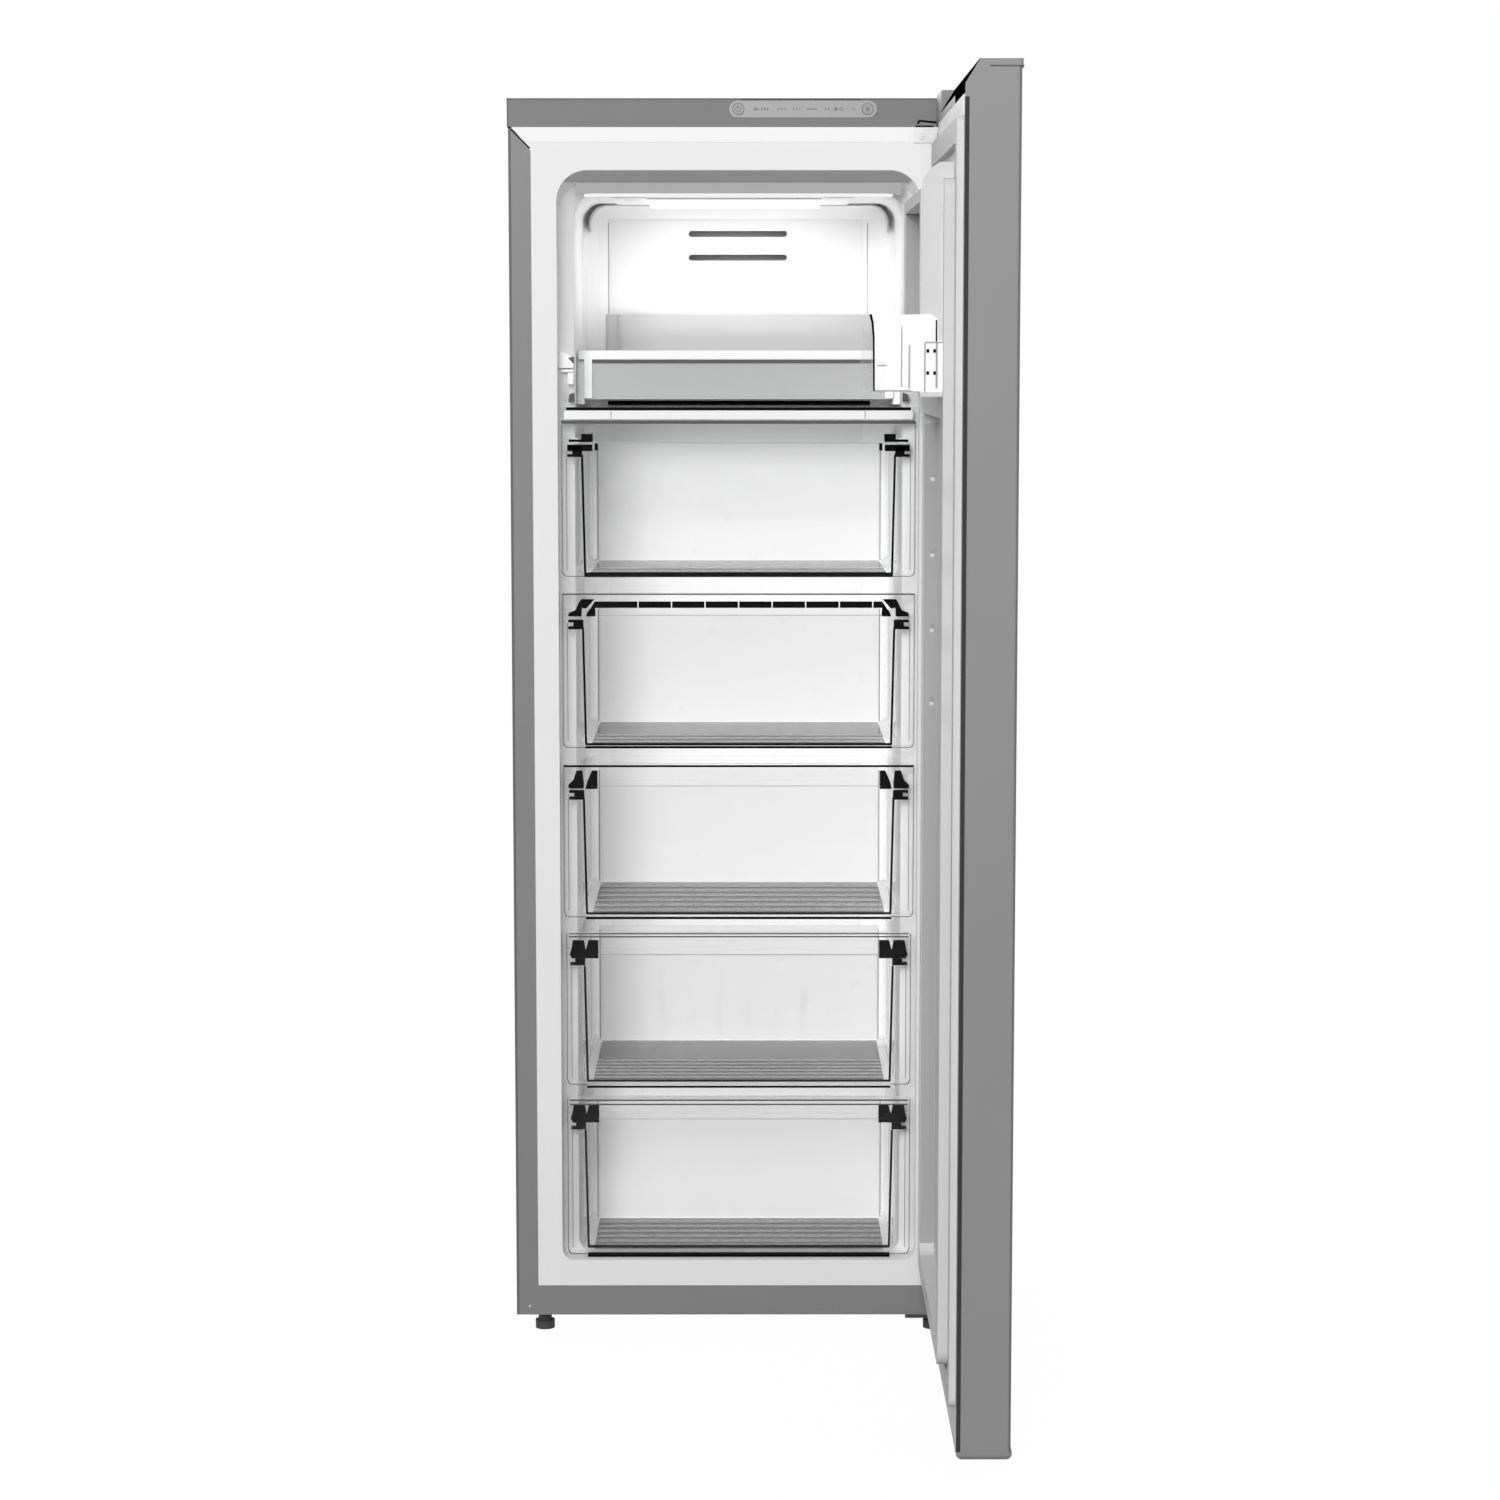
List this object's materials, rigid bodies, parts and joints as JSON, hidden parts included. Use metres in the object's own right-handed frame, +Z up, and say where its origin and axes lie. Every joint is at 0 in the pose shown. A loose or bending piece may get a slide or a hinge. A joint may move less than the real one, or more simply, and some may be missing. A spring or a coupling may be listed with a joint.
{
  "type": "upright freezer",
  "caption": "Free-standing upright freezer with a right-hinged door, a pull-out upper tray, clear stacked drawers and a clear door bin.",
  "frame": {"origin": "middle of the underside of the box round the freezer with its door open at a right angle; the floor is z = 0", "axes": "+Z up, -Y is the front that the user faces, +X is the hinge side, to the right as seen from the front"},
  "size_m": [0.6202, 1.125, 1.6383],
  "materials": {
    "casing_grey": "satin grey paint",
    "galvanised": "galvanised sheet",
    "trim_grey": "satin grey plastic",
    "lining_white": "smooth white plastic",
    "foam": "rigid insulating foam",
    "clear_plastic": "clear moulded plastic",
    "shelf_glass": "clear glass",
    "lamp_lens": "milky lens",
    "panel_light": "light grey control strip",
    "button_grey": "light grey",
    "board_green": "circuit board",
    "seal_white": "soft white vinyl",
    "black_rubber": "black rubber",
    "black_plastic": "black plastic",
    "nylon": "nylon",
    "copper": "drawn copper",
    "aluminium": "mill finish",
    "steel": "zinc plated",
    "black_steel": "black enamel"
  },
  "bodies": {
    "cabinet": {"left_side_panel": "casing_grey", "right_side_panel": "casing_grey", "top_panel": "casing_grey", "top_trim": "trim_grey", "rear_panel": "galvanised", "bottom_pan": "galvanised", "front_bottom_rail": "casing_grey", "insulation_foam": "foam", "liner": "lining_white", "control_panel": "panel_light", "control_board": "board_green", "lamp_cover": "lamp_lens", "lamp_board": "board_green", "duct_cover": "lining_white", "evaporator": "aluminium", "defrost_heater": "aluminium", "fan_bracket": "black_plastic", "fan_motor": "black_plastic", "drain_tube": "nylon", "condenser_tubing": "copper", "compressor_plate": "galvanised", "compressor": "black_steel", "compressor_grommets": "black_rubber", "compressor_bolts": "steel", "drip_pan": "nylon", "refrigerant_lines": "copper", "machine_cover": "galvanised", "power_gland": "black_plastic", "roller_axles": "steel", "glass_shelf": "shelf_glass", "top_hinge_bracket": "steel", "bottom_hinge_bracket": "black_steel", "hinge_pins": "steel", "hinge_screws": "steel"},
    "door": {"door_skin": "casing_grey", "door_lining": "lining_white", "door_foam": "foam", "door_top_cap": "trim_grey", "door_bottom_cap": "trim_grey", "door_gasket": "seal_white", "door_bushes": "nylon"},
    "door_bin": {"door_bin": "clear_plastic"},
    "tray": {"tray": "lining_white"},
    "fan_blade": {"fan_blade": "nylon"},
    "left_button": {"left_button": "button_grey"},
    "right_button": {"right_button": "button_grey"},
    "rear_left_roller": {"rear_left_roller": "nylon"},
    "rear_right_roller": {"rear_right_roller": "nylon"},
    "front_left_foot": {"front_left_foot": "black_plastic"},
    "front_right_foot": {"front_right_foot": "black_plastic"},
    "drawer_1": {"drawer_1_front": "clear_plastic", "drawer_1_tub": "clear_plastic"},
    "drawer_2": {"drawer_2_front": "clear_plastic", "drawer_2_tub": "clear_plastic"},
    "drawer_3": {"drawer_3_front": "clear_plastic", "drawer_3_tub": "clear_plastic"},
    "drawer_4": {"drawer_4_front": "clear_plastic", "drawer_4_tub": "clear_plastic"},
    "drawer_5": {"drawer_5_front": "clear_plastic", "drawer_5_tub": "clear_plastic"}
  },
  "joints": [
    {"name": "door_swing", "type": "hinge", "parent": "cabinet", "child": "door", "pos_m": [0.26645, 0.0125, 0.0206], "axis": [0, 0, 1], "range_deg": [-90, 20]},
    {"name": "door_bin_lift", "type": "slide", "parent": "door", "child": "door_bin", "axis": [0, 0, 1], "range_m": [0, 0.046]},
    {"name": "tray_slide", "type": "slide", "parent": "cabinet", "child": "tray", "axis": [0, -1, 0], "range_m": [0, 0.19]},
    {"name": "drawer_1_slide", "type": "slide", "parent": "cabinet", "child": "drawer_1", "axis": [0, -1, 0], "range_m": [0, 0.25]},
    {"name": "drawer_2_slide", "type": "slide", "parent": "cabinet", "child": "drawer_2", "axis": [0, -1, 0], "range_m": [0, 0.25]},
    {"name": "drawer_3_slide", "type": "slide", "parent": "cabinet", "child": "drawer_3", "axis": [0, -1, 0], "range_m": [0, 0.25]},
    {"name": "drawer_4_slide", "type": "slide", "parent": "cabinet", "child": "drawer_4", "axis": [0, -1, 0], "range_m": [0, 0.25]},
    {"name": "drawer_5_slide", "type": "slide", "parent": "cabinet", "child": "drawer_5", "axis": [0, -1, 0], "range_m": [0, 0.15]},
    {"name": "left_button_press", "type": "slide", "parent": "cabinet", "child": "left_button", "axis": [0, 1, 0], "range_m": [0, 0.001], "stiffness_N_per_m": 400},
    {"name": "right_button_press", "type": "slide", "parent": "cabinet", "child": "right_button", "axis": [0, 1, 0], "range_m": [0, 0.001], "stiffness_N_per_m": 400},
    {"name": "fan_spin", "type": "hinge", "parent": "cabinet", "child": "fan_blade", "pos_m": [-0.01105, 0.4045, 1.358], "axis": [0, 1, 0], "continuous": true},
    {"name": "rear_left_roller_spin", "type": "hinge", "parent": "cabinet", "child": "rear_left_roller", "pos_m": [-0.24855, 0.5075, 0.013], "axis": [1, 0, 0], "continuous": true},
    {"name": "front_left_foot_screw", "type": "slide", "parent": "cabinet", "child": "front_left_foot", "axis": [0, 0, -1], "range_m": [0, 0.015]},
    {"name": "rear_right_roller_spin", "type": "hinge", "parent": "cabinet", "child": "rear_right_roller", "pos_m": [0.22645, 0.5075, 0.013], "axis": [1, 0, 0], "continuous": true},
    {"name": "front_right_foot_screw", "type": "slide", "parent": "cabinet", "child": "front_right_foot", "axis": [0, 0, -1], "range_m": [0, 0.015]}
  ]
}
